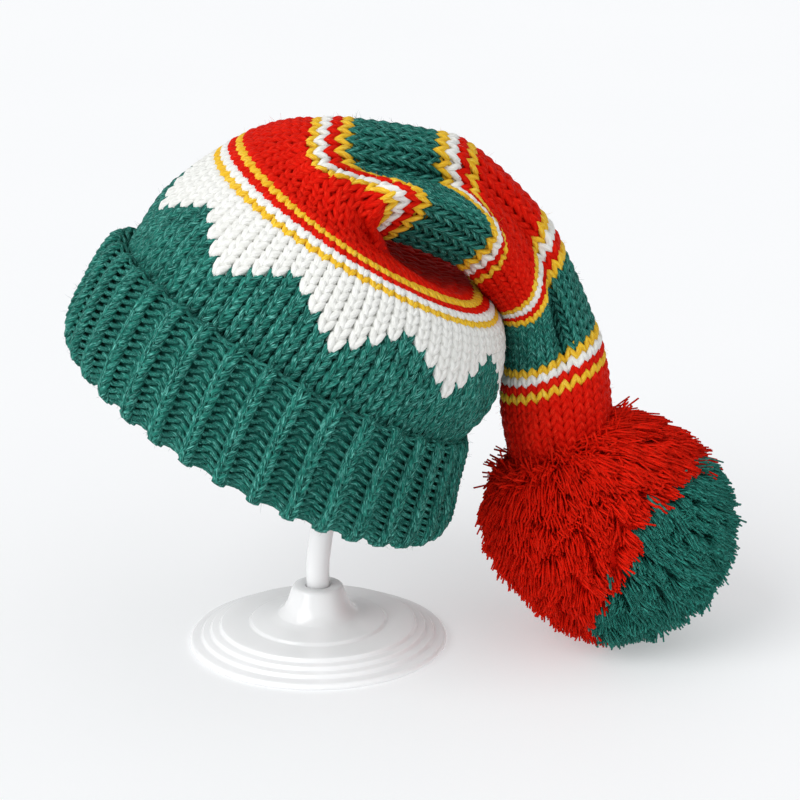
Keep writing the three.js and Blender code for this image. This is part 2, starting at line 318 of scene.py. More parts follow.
# White plastic
PLASTIC_COLOURS = ((0.91, 0.91, 0.92, 1), (0.94, 0.94, 0.95, 1))
PLASTIC_ROUGHNESS = 0.12
CLOUD_ROUGHNESS = 0.08

# Yarns: the colour of their painted shade, their body and their pale fibres with painted highlights, and
# their gloss
YARN_FINISHES = (
    ("green_yarn", (0.001, 0.045, 0.036, 1), (0.026, 0.26, 0.2, 1), (0.2, 0.66, 0.57, 1), 0.1),
    ("white_yarn", (0.78, 0.78, 0.74, 1), (0.92, 0.92, 0.89, 1), (0.97, 0.97, 0.95, 1), 0.15),
    ("yellow_yarn", (0.8, 0.42, 0.012, 1), (0.94, 0.62, 0.03, 1), (0.98, 0.8, 0.16, 1), 0.15),
    ("red_yarn", (0.6, 0.005, 0.001, 1), (0.8, 0.012, 0.003, 1), (0.9, 0.04, 0.015, 1), 0.05),
)
CUT_RED = ("cut_red_yarn", (0.93, 0.009, 0.001, 1), (0.98, 0.018, 0.004, 1), (0.99, 0.06, 0.025, 1), 0.05)
CUT_GREEN = ("cut_green_yarn", (0.001, 0.045, 0.034, 1), (0.032, 0.43, 0.335, 1), (0.2, 0.84, 0.7, 1), 0.15)

# Felts: the colour of their hollows and of their lumps. The backing felts are darker than their yarns:
# painted shade of the gaps between loops
SHADED_FELT_FINISHES = (
    ("green_shaded_felt", (0.002, 0.03, 0.024, 1), (0.007, 0.075, 0.06, 1)),
    ("white_shaded_felt", (0.35, 0.35, 0.32, 1), (0.55, 0.55, 0.52, 1)),
    ("yellow_shaded_felt", (0.3, 0.14, 0.004, 1), (0.45, 0.25, 0.01, 1)),
    ("red_shaded_felt", (0.4, 0.003, 0.001, 1), (0.6, 0.007, 0.002, 1)),
)
SHADED_RIB_FELT = ("green_shaded_rib_felt", (0.005, 0.07, 0.056, 1), (0.013, 0.135, 0.105, 1))
CORE_FELT = ("red_core_felt", (0.8, 0.006, 0.001, 1), (0.95, 0.014, 0.003, 1))
FELT_ROUGHNESS = 0.98
FLUFF_ROUGHNESS = 0.1
FLUFF_RELIEF = 0.4

# Streaks and pale fibres that twist round the yarn, as noise by its scales across and along and its seed. In
# the colour the streaks are painted shade, and the fibres are partly pale fibres and partly painted
# highlights; both also give relief
PLIES = 3
PLY_TWIST = 9
STREAK_NOISE = (5, 0.3, 40)
FIBRE_NOISE = (11, 0.4, 90)
BODY_SHADE = 0.35
STREAK_LEVEL = 0.53
STREAK_SHADE = 2.6
TONE_SHADE = 0.2
GLINT_LEVEL = 0.545
GLINT_GAIN = 6.5
GLINT_LIMIT = 0.8
STREAK_RELIEF = 0.6
FIBRE_RELIEF = 0.5
YARN_ROUGHNESS = 0.85
FIBRE_ROUGHNESS = 0.4


# Shape of the knitting

def smooth(knots, values, place):
    """Values on a smooth curve through a table's rows."""
    slopes = np.empty_like(values)
    slopes[1:-1] = (values[2:] - values[:-2]) / (knots[2:] - knots[:-2])
    slopes[0] = (values[1] - values[0]) / (knots[1] - knots[0])
    slopes[-1] = (values[-1] - values[-2]) / (knots[-1] - knots[-2])
    i = np.clip(np.searchsorted(knots, place, side="right") - 1, 0, len(knots) - 2)
    span = knots[i + 1] - knots[i]
    t = (place - knots[i]) / span
    rise = 3 * t**2 - 2 * t**3
    leave = (t**3 - 2 * t**2 + t) * span * slopes[i]
    arrive = (t**3 - t**2) * span * slopes[i + 1]
    return (1 - rise) * values[i] + rise * values[i + 1] + leave + arrive


def unit(vectors):
    return vectors / np.linalg.norm(vectors, axis=-1, keepdims=True)


def hill(distance):
    """1 in the middle and 0 from one reach away."""
    return (1 + np.cos(np.pi * np.clip(distance, -1, 1))) / 2


def degrees_from_crest(angle):
    return (np.degrees(angle) + 180) % 360 - 180


def fold_depth(course, angle):
    degrees = degrees_from_crest(angle)
    depth = 0
    for fold in FOLDS:
        along = course - fold["course"]
        turn = degrees - fold["angle"] - fold["slant"] * along
        reach = np.where(turn > 0, fold["crest_reach"], fold["away_reach"])
        depth = depth + fold["depth"] * hill(along / fold["course_reach"]) * hill(turn / reach)
    gather = np.clip((course - PLEAT_START) / (END_COURSE - PLEAT_START), 0, 1)
    gather = gather**2 * (3 - 2 * gather)
    return depth + PLEAT_DEPTH * gather * (1 - np.cos(PLEATS * angle)) / 2


def section(field, course):
    return smooth(SECTION["course"], SECTION[field], course)


def face_point(course, angle):
    """Points on the outside of the crown and tail. Angle 0 is the crest, -90 degrees the front."""
    crest = np.stack([section("crest_x", course), section("crest_z", course)], -1)
    inner = np.stack([section("inner_x", course), section("inner_z", course)], -1)
    half = (crest - inner) / 2
    middle = (crest + inner) / 2
    length = np.hypot(half[..., 0], half[..., 1])
    degrees = degrees_from_crest(angle)
    push = section("lead", course) * hill((degrees - BULGE_ANGLE) / BULGE_REACH)
    push = push - section("sway", course) * hill((degrees - GROOVE_ANGLE) / GROOVE_REACH)
    spoke = np.stack([
        half[..., 0] * np.cos(angle) + push * half[..., 1] / length,
        section("depth", course) * np.sin(angle),
        half[..., 1] * np.cos(angle) - push * half[..., 0] / length,
    ], -1)
    reach = np.linalg.norm(spoke, axis=-1)
    spoke = spoke * (1 - fold_depth(course, angle) / reach)[..., None]
    return spoke + np.stack([middle[..., 0], section("centre_y", course), middle[..., 1]], -1)


def outward_of(face, place, angle):
    """Unit normals of a face that is given by a function of place and angle."""
    step = 1e-3
    along = face(place + step, angle) - face(place - step, angle)
    around = face(place, angle + step) - face(place, angle - step)
    return unit(np.cross(along, around))


def knit_face(course, angle, height):
    """Points at a height over the crown and tail, with the normals there."""
    outward = outward_of(face_point, course, angle)
    return face_point(course, angle) + outward * height[..., None], outward


def cuff_steps():
    """Millimetres along the cuff's profile, row by row of its table."""
    steps = np.hypot(np.diff(CUFF["course"]) * CUFF_COURSE_HEIGHT, np.diff(CUFF["height"]))
    return np.concatenate([[0], np.cumsum(steps)])


CUFF_ALONG = cuff_steps() / CUFF_STITCH_HEIGHT
CUFF_STITCHES = int(CUFF_ALONG[-1])


def cuff_point(row, angle):
    """Points on the smooth face under the cuff's ribs."""
    top = smooth(CUFF_ALONG, CUFF["lean"], row)
    course = smooth(CUFF_ALONG, CUFF["course"], row) - top * CUFF_LEAN * np.sin(angle)
    hug = CUFF_HUG * top * np.clip(-np.cos(angle), 0, None)**2
    height = smooth(CUFF_ALONG, CUFF["height"], row) - hug
    return knit_face(course, angle, height)[0]


def cuff_face(row, angle, height):
    """Points at a height over the cuff's ribs, with the normals of the smooth face."""
    outward = outward_of(cuff_point, row, angle)
    rib = RIB_DEPTH * smooth(CUFF_ALONG, CUFF["rib"], row) * np.cos(RIBS * (angle - TIP_ANGLE))
    angle = angle + RIB_SWELL / RIBS * np.sin(RIBS * (angle - TIP_ANGLE))
    return cuff_point(row, angle) + outward * (height + rib)[..., None], outward


# Knitting chart

def yarn_of(row, column):
    """The yarn of each stitch: green, a white zigzag, then sets of stripes between red and green fields."""
    row = np.minimum(row, LAST_ROW)
    tooth = np.abs((column + TOOTH_COLUMNS / 2) % TOOTH_COLUMNS - TOOTH_COLUMNS / 2)
    band = np.where(row - TOOTH_ROW >= tooth, WHITE, GREEN)
    repeat, line = np.divmod(row - STRIPE_ROW, STRIPE_REPEAT)
    stripes = np.array(STRIPE_SET)[np.clip(line, 0, len(STRIPE_SET) - 1)]
    fields = np.array(FIELD_YARNS)[repeat % 2]
    striped = np.where(line < len(STRIPE_SET), stripes, fields)
    return np.where(row >= STRIPE_ROW, striped, np.where(row >= TOOTH_ROW, band, GREEN))


def columns_in(row):
    return [columns for first, columns in COLUMN_STEPS if row >= first][-1]


# Yarn

class YarnBundle:
    """Many lengths of yarn joined into one mesh, with the yarn's own UV map and a tone for each point."""

    def __init__(self):
        self.points = []
        self.tones = []
        self.faces = []
        self.uvs = []
        self.finishes = []
        self.count = 0

    def add(self, paths, guides, width, depth, sides, closed, finish, tone):
        """Adds tubes along paths of shape (tubes, points, 3), flat side towards their guides."""
        tubes, length = paths.shape[:2]
        if closed:
            ahead = np.roll(paths, -1, axis=1) - np.roll(paths, 1, axis=1)
        else:
            ahead = np.gradient(paths, axis=1)
        ahead = unit(ahead)
        across = unit(np.cross(ahead, guides))
        up = np.cross(across, ahead)
        turn = 2 * np.pi * np.arange(sides) / sides
        beside = across[:, :, None] * np.sin(turn)[:, None] * width[:, :, None, None]
        over = up[:, :, None] * np.cos(turn)[:, None] * depth[:, :, None, None]
        rings = paths[:, :, None] + beside - over
        corner = self.count + np.arange(tubes * length * sides).reshape(tubes, length, sides)
        segments = length if closed else length - 1
        start = corner[:, :segments]
        end = np.roll(corner, -1, axis=1)[:, :segments]
        walls = np.stack([start, end, np.roll(end, -1, axis=2), np.roll(start, -1, axis=2)], axis=-1)
        step = np.linalg.norm(np.roll(paths, -1, axis=1) - paths, axis=-1)[:, :segments]
        far = np.cumsum(step, axis=1)
        near = far - step
        around = np.arange(sides) / sides
        along_uv = np.stack([near, far, far, near], axis=-1)[:, :, None]
        around_uv = np.stack([around, around, around + 1 / sides, around + 1 / sides], axis=-1)
        wall_uvs = np.stack(np.broadcast_arrays(along_uv, around_uv), axis=-1)
        self.faces.append(walls.reshape(-1, 4))
        self.uvs.append(wall_uvs.reshape(-1, 2))
        self.finishes.append(np.repeat(finish[:, :segments].ravel(), sides))
        if not closed:
            self.add_ends(corner, far, finish)
        self.points.append(rings.reshape(-1, 3))
        self.tones.append(np.repeat(tone.ravel(), sides))
        self.count += tubes * length * sides

    def add_ends(self, corner, far, finish):
        """Closes the two ends of the tubes."""
        tubes, _, sides = corner.shape
        around = np.broadcast_to(np.arange(sides) / sides, (tubes, sides))
        for ring, length, yarn in (
            (corner[:, 0], np.zeros(tubes), finish[:, 0]),
            (corner[:, -1, ::-1], far[:, -1], finish[:, -1]),
        ):
            along = np.broadcast_to(length[:, None], (tubes, sides))
            self.faces.append(ring)
            self.uvs.append(np.stack([along, around], axis=-1).reshape(-1, 2))
            self.finishes.append(yarn)

    def piece(self, name, materials):
        mesh = bpy.data.meshes.new(name)
        faces = [face for block in self.faces for face in block.tolist()]
        mesh.from_pydata(np.concatenate(self.points) * MM, [], faces)
        mesh.uv_layers.new(name="yarn").uv.foreach_set("vector", np.concatenate(self.uvs).ravel())
        tone = mesh.attributes.new("tone", "FLOAT", "POINT")
        tone.data.foreach_set("value", np.concatenate(self.tones))
        mesh.polygons.foreach_set("material_index", np.concatenate(self.finishes).astype(np.int32))
        mesh.shade_smooth()
        return place_piece(name, mesh, materials)


def place_piece(name, mesh, materials):
    for material in materials:
        mesh.materials.append(material)
    piece = bpy.data.objects.new(name, mesh)
    bpy.context.scene.collection.objects.link(piece)
    return piece


def knit_courses(bundle, rows, columns, face, ribbed, chance):
    """Adds whole courses of loops. In ribbed knitting every second column is purled.

    The foot of a loop lies behind the course below and has that course's colour.
    """
    points = RIB_LOOP_POINTS if ribbed else LOOP_POINTS
    turn = 2 * np.pi * np.arange(points) / points
    window = np.sin(turn / 2)**2
    row = np.array(rows, float)[:, None, None]
    column = np.arange(columns)[None, :, None]
    shape = (len(rows), columns, points)
    uneven = [chance.normal(0, 1, shape[:2])[..., None] * window for _ in range(3)]
    purled = np.logical_and(ribbed, column % 2 == 1)
    reach = np.where(purled, PURL_REACH, LOOP_REACH)
    swing = RIB_LOOP_SWING if ribbed else np.where(row < TAIL_ROW, CROWN_LOOP_SWING, TAIL_LOOP_SWING)
    sway = swing * np.sin(2 * turn) + LOOP_PINCH * np.sin(turn)
    sideways = turn / (2 * np.pi) - 0.5 + sway + UNEVEN_SIDEWAYS * uneven[0]
    place = np.broadcast_to(row + 0.5 - reach * np.cos(turn) + UNEVEN_ALONG * uneven[1], shape)
    front = -np.cos(2 * turn)
    if ribbed:
        front = np.where(purled, -front, front) * np.clip(RIB_TURN * window, 0, 1)
    middle = LOOP_MIDDLE + PURL_SINK * purled * window
    height = np.broadcast_to(middle + LOOP_DEPTH * front + UNEVEN_HEIGHT * uneven[2], shape)
    angle = TIP_ANGLE + (column + sideways) * 2 * np.pi / columns
    ring = (len(rows), columns * points)
    paths, guides = face(place.reshape(ring), angle.reshape(ring), height.reshape(ring))
    yarn = np.full(shape, GREEN)
    if not ribbed:
        foot = np.cos(turn + np.pi / points) > math.cos(FOOT_ANGLE)
        yarn = yarn_of((row - foot).astype(int), column)
    full_radius = np.array([YARN_RADIUS[kind] for kind in sorted(YARN_RADIUS)])
    tail_radius = np.array([YARN_RADIUS[kind] * TAIL_YARN_SHARE[kind] for kind in sorted(YARN_RADIUS)])
    thickness = np.where(row < TAIL_ROW, full_radius[yarn], tail_radius[yarn])
    swell = 1 - LOOP_SWELL / 2 + LOOP_SWELL * np.sin(turn)**2
    width = (thickness * swell * (1 - PURL_THINNING * purled)).reshape(ring)
    finish = yarn.reshape(ring)
    tone = np.broadcast_to(chance.uniform(0, 1, shape[:2])[..., None], shape).reshape(ring)
    bundle.add(paths, guides, width, width * YARN_FLATNESS, LOOP_SIDES, True, finish, tone)


def knit_piece(name, first, last, materials, chance):
    bundle = YarnBundle()
    starts = [step for step, _ in COLUMN_STEPS if first < step < last]
    for start, stop in zip([first, *starts], [*starts, last]):
        knit_courses(bundle, range(start, stop), columns_in(start), knit_face, False, chance)
    return bundle.piece(name, materials)


def cuff_piece(name, materials, chance):
    bundle = YarnBundle()
    knit_courses(bundle, range(CUFF_STITCHES), CROWN_COLUMNS, cuff_face, True, chance)
    return bundle.piece(name, materials)


def fuzz_piece(name, face, rows, count, materials, chance):
    """Loose fibres that stand off the yarn, in the colour of the stitch that they leave."""
    row = chance.uniform(*rows, (count, 1))
    angle = chance.uniform(-np.pi, np.pi, (count, 1))
    root, outward = face(row, angle, np.full(row.shape, FUZZ_ROOT))
    lean = chance.normal(0, FUZZ_LEAN, (count, 1, 3))
    tip = root + outward * chance.uniform(*FUZZ_RISE, (count, 1, 1)) + lean
    column = np.rint((angle - TIP_ANGLE) * CROWN_COLUMNS / (2 * np.pi))
    yarn = yarn_of(np.floor(row).astype(int), column) if len(materials) > 1 else np.full(row.shape, GREEN)
    paths = np.concatenate([root, tip], axis=1)
    never_zero = 1e-6
    guides = np.repeat(np.cross(outward, tip - root) + never_zero, 2, axis=1)
    width = np.array([[FUZZ_RADIUS, FUZZ_TIP_RADIUS]]) * np.ones((count, 1))
    tone = np.repeat(chance.uniform(0, 1, (count, 1)), 2, axis=1)
    bundle = YarnBundle()
    bundle.add(paths, guides, width, width, FUZZ_SIDES, False, np.repeat(yarn, 2, axis=1), tone)
    return bundle.piece(name, materials)


def backing_piece(name, face, start, stop, height, rows, materials, yarn):
    """The felted middle of the knitting: a thin closed band that runs up outside and down inside.

    Gaps between loops show it a course higher up, so it has the colour of the course below, darkened as
    painted shade.
    """
    line = np.linspace(start, stop, rows + 1)
    places = np.concatenate([line, line[::-1], line[:1]])
    heights = np.concatenate([np.full(rows + 1, height), np.full(rows + 1, height - BACKING_WALL), [height]])
    band = bmesh.new()
    bmesh.ops.create_grid(band, x_segments=CROWN_COLUMNS, y_segments=len(places) - 1, size=0.5)
    flat = np.array([vertex.co for vertex in band.verts]) + 0.5
    step = np.rint(flat[:, 1] * (len(places) - 1)).astype(int)
    angle = TIP_ANGLE + (flat[:, 0] - 0.5 / CROWN_COLUMNS) * 2 * np.pi
    points, _ = face(places[step], angle, heights[step])
    for cell in band.faces:
        spot = cell.calc_center_median()
        step = math.floor((spot.y + 0.5) * (len(places) - 1))
        row = math.floor((places[step] + places[step + 1]) / 2) - 1
        cell.material_index = int(yarn(row, math.floor((spot.x + 0.5) * CROWN_COLUMNS)))
        cell.smooth = True
    for vertex, point in zip(band.verts, points * MM):
        vertex.co = point
    bmesh.ops.remove_doubles(band, verts=band.verts, dist=MERGE_REACH * MM)
    bmesh.ops.recalc_face_normals(band, faces=band.faces)
    return finish_piece(name, band, materials)


def finish_piece(name, shape, materials):
    mesh = bpy.data.meshes.new(name)
    shape.to_mesh(mesh)
    shape.free()
    return place_piece(name, mesh, materials)


# Pompom

def neck_direction():
    """From the pompom's middle to the gathered end of the tail, on a ball of radius 1."""
    end = np.array([END_COURSE], float)
    middle = [
        (section("crest_x", end) + section("inner_x", end)) / 2,
        section("centre_y", end),
        (section("crest_z", end) + section("inner_z", end)) / 2,
    ]
    return unit((np.concatenate(middle) - POMPOM_CENTRE) / POMPOM_HALF)


NECK = neck_direction()


def even_directions(count):
    """Directions spread evenly over a ball."""
    i = np.arange(count) + 0.5
    height = 1 - 2 * i / count
    turn = i * math.pi * (3 - math.sqrt(5))
    ring = np.sqrt(1 - height**2)
    return np.stack([ring * np.cos(turn), ring * np.sin(turn), height], -1)


def strand_tips(chance):
    """Tip directions of the strands, and for each of them its tuft's middle, lean, length and colour."""
    directions = even_directions(STRANDS)
    tips = unit(directions + chance.normal(0, TIP_SCATTER, directions.shape))
    tips = tips[tips @ NECK < math.cos(NECK_ANGLE)]
    middles = unit(even_directions(TUFTS) + chance.normal(0, TUFT_SCATTER, (TUFTS, 3)))
    tuft = np.argmax(tips @ middles.T, axis=1)
    lean = chance.normal(0, TUFT_LEAN, (TUFTS, 3))
    length = chance.normal(0, TUFT_LENGTH_SPREAD, TUFTS)
    green = middles @ unit(GREEN_AXIS) + chance.normal(0, TUFT_EDGE_SPREAD, TUFTS) > GREEN_EDGE
    return tips, middles[tuft], lean[tuft], length[tuft], green[tuft]


def strand_paths(tips, middles, lean, length, gather, points, chance):
    """Paths of cut yarn that leave the neck, lie over the ball and gather into tufts at their tips."""
    count = len(tips)
    polar = np.arccos(np.clip(tips @ NECK, -1, 1))
    spoke = unit(tips - (tips @ NECK)[:, None] * NECK)
    swing = NECK_SWING * np.exp(-np.clip(polar - NECK_ANGLE, 0, None) / NECK_SWING_REACH) + LEAST_SWING
    root = np.clip(polar - swing, NECK_ANGLE * NECK_ROOT_SHARE, None)
    share = np.linspace(0, 1, points)
    angle = root[:, None] + (polar - root)[:, None] * share**STRAND_CURVE
    ball = np.cos(angle)[..., None] * NECK + np.sin(angle)[..., None] * spoke[:, None]
    draw = gather * (middles - tips) + lean + chance.normal(0, STRAND_SCATTER, (count, 3))
    wave = chance.normal(0, STRAND_WAVE, (count, 1, 3)) * np.sin(2 * np.pi * share)[:, None]
    ball = unit(ball + draw[:, None] * share[:, None]**TIP_CURVE + wave)
    flat = FLAT_DEPTH * hill(np.arccos(np.clip(tips @ unit(FLAT_SIDE), -1, 1)) / FLAT_REACH)
    uneven = np.clip(chance.normal(0, LENGTH_SPREAD, count), *LENGTH_LIMITS)
    tip_reach = STRAND_TIP + length - flat + uneven
    reach = STRAND_ROOT + (tip_reach - STRAND_ROOT)[:, None] * (1 - (1 - share)**STRAND_RISE)
    return ball * reach[..., None]


def collar_paths(chance):
    """Paths of long strands that stand up around the end of the tail."""
    turn = chance.uniform(0, 2 * np.pi, (COLLAR_STRANDS, 1))
    side = unit(np.cross(NECK, (0, 1, 0)))
    spoke = np.cos(turn) * side + np.sin(turn) * np.cross(NECK, side)
    share = np.linspace(0, 1, LONG_POINTS)
    bend = chance.normal(*COLLAR_BEND, (COLLAR_STRANDS, 1)) * share**TIP_CURVE
    angle = chance.uniform(*COLLAR_ANGLE, (COLLAR_STRANDS, 1)) + bend
    ball = np.cos(angle)[..., None] * NECK + np.sin(angle)[..., None] * spoke[:, None]
    scatter = chance.normal(0, COLLAR_SCATTER, (COLLAR_STRANDS, 1, 3))
    ball = unit(ball + scatter * share[:, None]**TIP_CURVE)
    reach = STRAND_ROOT + chance.uniform(*COLLAR_RISE, (COLLAR_STRANDS, 1)) * share
    return ball * reach[..., None]


def strand_piece(name, ball, material, chance):
    """Strands along paths that are given on a ball of radius 1."""
    paths = POMPOM_CENTRE + ball * POMPOM_HALF
    paths[..., 2] = np.maximum(paths[..., 2], STRAND_RADIUS)
    share = np.linspace(0, 1, paths.shape[1])
    thickness = chance.uniform(*STRAND_THICKNESS, (len(paths), 1))
    width = thickness * (STRAND_RADIUS + (STRAND_TIP_RADIUS - STRAND_RADIUS) * share)
    tone = chance.uniform(0, 1, (len(paths), 1)) * np.ones(len(share))
    guides = np.broadcast_to(np.cross(NECK, ball[:, -1:]), paths.shape)
    bundle = YarnBundle()
    bundle.add(paths, guides, width, width, STRAND_SIDES, False, np.zeros(width.shape, int), tone)
    return bundle.piece(name, [material])


def core_piece(name, materials):
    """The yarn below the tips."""
    ball = bmesh.new()
    bmesh.ops.create_icosphere(ball, subdivisions=CORE_SUBDIVISIONS, radius=CORE_SHARE)
    for cell in ball.faces:
        middle = np.array(cell.calc_center_median().normalized())
        cell.material_index = int(middle @ unit(GREEN_AXIS) > GREEN_EDGE)
        cell.smooth = True
    bmesh.ops.scale(ball, verts=ball.verts, vec=Vector(POMPOM_HALF * MM))
    bmesh.ops.translate(ball, verts=ball.verts, vec=Vector(POMPOM_CENTRE * MM))
    for vertex in ball.verts:
        vertex.co.z = max(vertex.co.z, CORE_FLOOR * MM)
    return finish_piece(name, ball, materials)


# Stand

def turned(profile, steps):
    """A solid of revolution about Z from a profile that starts and ends on the axis."""
    shape = bmesh.new()
    corners = [shape.verts.new((radius * MM, 0, height * MM)) for radius, height in profile]
    edges = [shape.edges.new(pair) for pair in zip(corners, corners[1:])]
    bmesh.ops.spin(
        shape, geom=[*corners, *edges], cent=(0, 0, 0), axis=(0, 0, 1),
        angle=2 * math.pi, steps=steps, use_merge=True,
    )
    bmesh.ops.remove_doubles(shape, verts=shape.verts, dist=MERGE_REACH * MM)
    bmesh.ops.recalc_face_normals(shape, faces=shape.faces)
    return shape


def soften(shape, radius, limit):
    """Rounds the edges that turn by more than the limit."""
    sharp = [edge for edge in shape.edges if edge.is_manifold and edge.calc_face_angle() > limit]
    bmesh.ops.bevel(
        shape, geom=sharp, offset=radius * MM, offset_type="OFFSET", affect="EDGES",
        segments=EDGE_SEGMENTS, profile=0.5, material=-1, clamp_overlap=True,
    )
    for cell in shape.faces:
        cell.smooth = True


def base_piece(name, materials):
    shape = turned(BASE_PROFILE, BASE_STEPS)
    soften(shape, BASE_EDGE, BASE_EDGE_TURN)
    return finish_piece(name, shape, materials)


def post_piece(name, materials):
    """A round rod that stands in the hub and bends once."""
    rod = bmesh.new()
    foot = bmesh.ops.create_circle(rod, cap_ends=True, radius=POST_RADIUS * MM, segments=POST_SIDES)
    bmesh.ops.translate(rod, verts=foot["verts"], vec=(0, 0, POST_FOOT * MM))
    rise = POST_BEND - POST_BEND_REACH - POST_FOOT
    bend_radius = POST_BEND_REACH / math.tan(POST_LEAN / 2)
    centre = Vector((bend_radius, 0, POST_BEND - POST_BEND_REACH)) * MM
    lean = Vector((math.sin(POST_LEAN), 0, math.cos(POST_LEAN)))
    above = (POST_TOP - POST_BEND) / math.cos(POST_LEAN) - POST_BEND_REACH

    rim = [edge for edge in rod.edges if edge.is_boundary or len(edge.link_faces) == 1]
    made = bmesh.ops.extrude_edge_only(rod, edges=rim)["geom"]
    bmesh.ops.translate(rod, verts=only(made, bmesh.types.BMVert), vec=(0, 0, rise * MM))
    made = bmesh.ops.spin(
        rod, geom=only_ring(made), cent=centre, axis=(0, 1, 0), angle=POST_LEAN, steps=POST_BEND_STEPS,
    )["geom_last"]
    made = bmesh.ops.extrude_edge_only(rod, edges=only(made, bmesh.types.BMEdge))["geom"]
    bmesh.ops.translate(rod, verts=only(made, bmesh.types.BMVert), vec=lean * above * MM)
    bmesh.ops.contextual_create(rod, geom=only(made, bmesh.types.BMEdge))
    bmesh.ops.recalc_face_normals(rod, faces=rod.faces)
    for cell in rod.faces:
        cell.smooth = len(cell.verts) == 4
    return finish_piece(name, rod, materials)


def only(geometry, kind):
    return [item for item in geometry if isinstance(item, kind)]


def only_ring(geometry):
    """The open end of what was just extruded."""
    return [edge for edge in only(geometry, bmesh.types.BMEdge) if len(edge.link_faces) == 1]


def dome_piece(name, materials):
    """The hidden support under the crown, with the boss that takes the post."""
    shape = turned(DOME_PROFILE, DOME_STEPS)
    soften(shape, DOME_EDGE, DOME_EDGE_TURN)
    place = Matrix.Translation(Vector(DOME_TOP) * MM) @ Matrix.Rotation(DOME_TILT, 4, "Y")
    bmesh.ops.transform(shape, matrix=place, verts=shape.verts)
    reach = (POST_TOP - POST_BEND) / math.cos(POST_LEAN) + STAND_GAP
    lean = Vector((math.sin(POST_LEAN), 0, math.cos(POST_LEAN)))
    seat = Vector((0, 0, POST_BEND)) + lean * (reach + BOSS_LENGTH / 2)
    boss = Matrix.Translation(seat * MM) @ Matrix.Rotation(POST_LEAN, 4, "Y")
    bmesh.ops.create_cone(
        shape, cap_ends=True, segments=DOME_STEPS, radius1=BOSS_RADIUS * MM, radius2=BOSS_RADIUS * MM,
        depth=BOSS_LENGTH * MM, matrix=boss,
    )
    return finish_piece(name, shape, materials)


# Finishes

class Shade:
    """A shader socket. Sums on it add Math nodes, and node() adds any other node to the same material."""

    def __init__(self, tree, socket=None):
        self.tree = tree
        self.socket = socket

    def node(self, kind, settings=None, inputs=None):
        made = self.tree.nodes.new(kind)
        for name, value in (settings or {}).items():
            setattr(made, name, value)
        for name, value in (inputs or {}).items():
            if isinstance(value, Shade):
                self.tree.links.new(value.socket, made.inputs[name])
            else:
                made.inputs[name].default_value = value
        return Shade(self.tree, next(socket for socket in made.outputs if socket.enabled))

    def out(self, name):
        return Shade(self.tree, self.socket.node.outputs[name])

    def math(self, operation, *values):
        return self.node("ShaderNodeMath", {"operation": operation}, dict(enumerate(values)))

    def __add__(self, other):
        return self.math("ADD", self, other)

    def __sub__(self, other):
        return self.math("SUBTRACT", self, other)

    def __rsub__(self, other):
        return self.math("SUBTRACT", other, self)

    def __mul__(self, other):
        return self.math("MULTIPLY", self, other)

    __radd__ = __add__

    def mixed(self, low, high):
        """Two colours mixed by this value."""
        return self.node(
            "ShaderNodeMix", {"data_type": "RGBA", "clamp_factor": True}, {"Factor": self, 6: low, 7: high},
        ).out(2)


def new_finish(name):
    material = bpy.data.materials.new(name)
    material.use_nodes = True
    return material, Shade(material.node_tree), material.node_tree.nodes["Principled BSDF"]


def set_surface(shader, shade, values):
    for name, value in values.items():
        if isinstance(value, Shade):
            shade.tree.links.new(value.socket, shader.inputs[name])
        else:
            shader.inputs[name].default_value = value


def yarn_finish(name, deep, body, light, gloss):
    """Soft yarn with streaks and pale fibres that twist round it: the streaks are painted shade, the fibres
    partly pale fibres and partly painted highlights.
    """
    material, shade, shader = new_finish(name)
    uv = shade.node("ShaderNodeSeparateXYZ", inputs={0: shade.node("ShaderNodeUVMap", {"uv_map": "yarn"})})
    along = uv.out("X")
    tone = shade.node("ShaderNodeAttribute", {"attribute_name": "tone"}).out("Fac")
    ply = along * (1 / PLY_TWIST) + uv.out("Y") * PLIES
    streak = fibre_noise(shade, ply, along, tone, STREAK_NOISE)
    fibre = fibre_noise(shade, ply, along, tone, FIBRE_NOISE)
    # The streaks darken the colour towards its deep shade: painted shade between the plies.
    shadow = BODY_SHADE + (streak - STREAK_LEVEL) * STREAK_SHADE + tone * TONE_SHADE
    # The fibres lighten the colour: partly pale fibres, partly painted highlights.
    glint = (fibre - GLINT_LEVEL) * GLINT_GAIN
    colour = shadow.mixed(deep, body)
    colour = glint.math("MINIMUM", glint, GLINT_LIMIT).mixed(colour, light)
    height = streak * STREAK_RELIEF + fibre * FIBRE_RELIEF
    normal = shade.node("ShaderNodeBump", inputs={"Height": height, "Strength": 0.9, "Distance": 0.7 * MM})
    set_surface(shader, shade, {
        "Base Color": colour,
        "Roughness": YARN_ROUGHNESS - fibre * FIBRE_ROUGHNESS,
        "Normal": normal,
        "Specular IOR Level": gloss,
    })
    return material


def fibre_noise(shade, ply, along, tone, scales):
    across_scale, along_scale, seed_scale = scales
    place = shade.node("ShaderNodeCombineXYZ", inputs={
        0: ply * across_scale, 1: along * along_scale, 2: tone * seed_scale,
    })
    return shade.node("ShaderNodeTexNoise", inputs={"Vector": place, "Scale": 1, "Detail": 2})


def felt_finish(name, deep, body):
    """Felted yarn between the loops. The backing felts are given colours darker than their yarn: painted
    shade of the gaps.
    """
    material, shade, shader = new_finish(name)
    place = shade.node("ShaderNodeTexCoord").out("Object")
    fluff = shade.node("ShaderNodeTexNoise", inputs={"Vector": place, "Scale": 900, "Detail": 3})
    lumps = shade.node("ShaderNodeTexNoise", inputs={"Vector": place, "Scale": 220, "Detail": 2})
    normal = shade.node("ShaderNodeBump", inputs={
        "Height": fluff * FLUFF_RELIEF + lumps, "Strength": 0.8, "Distance": 0.8 * MM,
    })
    set_surface(shader, shade, {
        "Base Color": lumps.mixed(deep, body),
        "Roughness": FELT_ROUGHNESS - fluff * FLUFF_ROUGHNESS,
        "Normal": normal,
        "Specular IOR Level": 0.15,
    })
    return material


